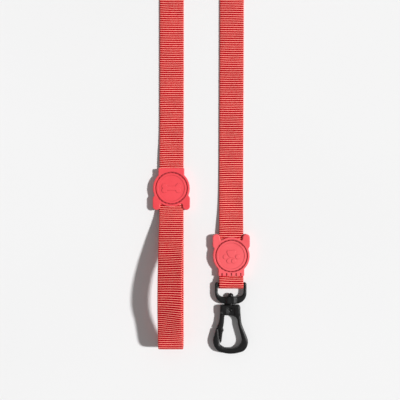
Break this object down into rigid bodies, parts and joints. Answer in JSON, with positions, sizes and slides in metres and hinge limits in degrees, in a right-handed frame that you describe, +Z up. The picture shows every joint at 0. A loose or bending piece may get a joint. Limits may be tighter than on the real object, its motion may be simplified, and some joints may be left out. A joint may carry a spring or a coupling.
{
  "type": "webbing dog leash",
  "caption": "Flat webbing pet leash with a sewn hand loop, moulded soft badges over its joints, and a swivel snap hook with a sprung gate.",
  "frame": {"origin": "on the surface that the leash lies on, under the middle of the box round everything but the lead", "axes": "+Y from the hook towards the lead's far bend, +Z up, +X from the hand loop towards the hook"},
  "size_m": [0.1216, 0.5616, 0.0326],
  "materials": {
    "webbing": "ribbed polyester webbing, coral red, low sheen",
    "badge": "moulded soft rubber, coral red, satin",
    "thread": "bonded sewing thread, coral red",
    "black_metal": "black coated zinc casting, satin",
    "spring_steel": "spring wire"
  },
  "bodies": {
    "leash": {"handle_badge_front": "badge", "handle_badge_rear": "badge", "handle_badge_stitching": "thread", "handle_bar_tack": "thread", "hook_badge_front": "badge", "hook_badge_rear": "badge", "hook_badge_stitching": "thread", "hook_bar_tack": "thread", "handle_loop_webbing": "webbing", "hook_loop_webbing": "webbing", "lead_webbing": "webbing"},
    "eye": {"swivel_eye": "black_metal"},
    "hook": {"hook_body": "black_metal", "swivel_rivet": "black_metal", "swivel_cross_pin": "black_metal", "gate_pivot_pin": "black_metal", "gate_spring": "spring_steel"},
    "gate": {"gate": "black_metal"}
  },
  "joints": [
    {"name": "eye_tilt", "type": "hinge", "parent": "leash", "child": "eye", "pos_m": [0.03025, -0.0247, 0.0039], "axis": [-1, 0, 0], "range_deg": [-120, 120]},
    {"name": "hook_swivel", "type": "hinge", "parent": "eye", "child": "hook", "pos_m": [0.03025, -0.0447, 0.0039], "axis": [0, 1, 0], "continuous": true},
    {"name": "gate_swing", "type": "hinge", "parent": "hook", "child": "gate", "pos_m": [0.02265, -0.0523, 0.0039], "axis": [0, 0, 1], "range_deg": [0, 26], "stiffness_Nm_per_rad": 0.15, "springref_deg": -14.32}
  ]
}
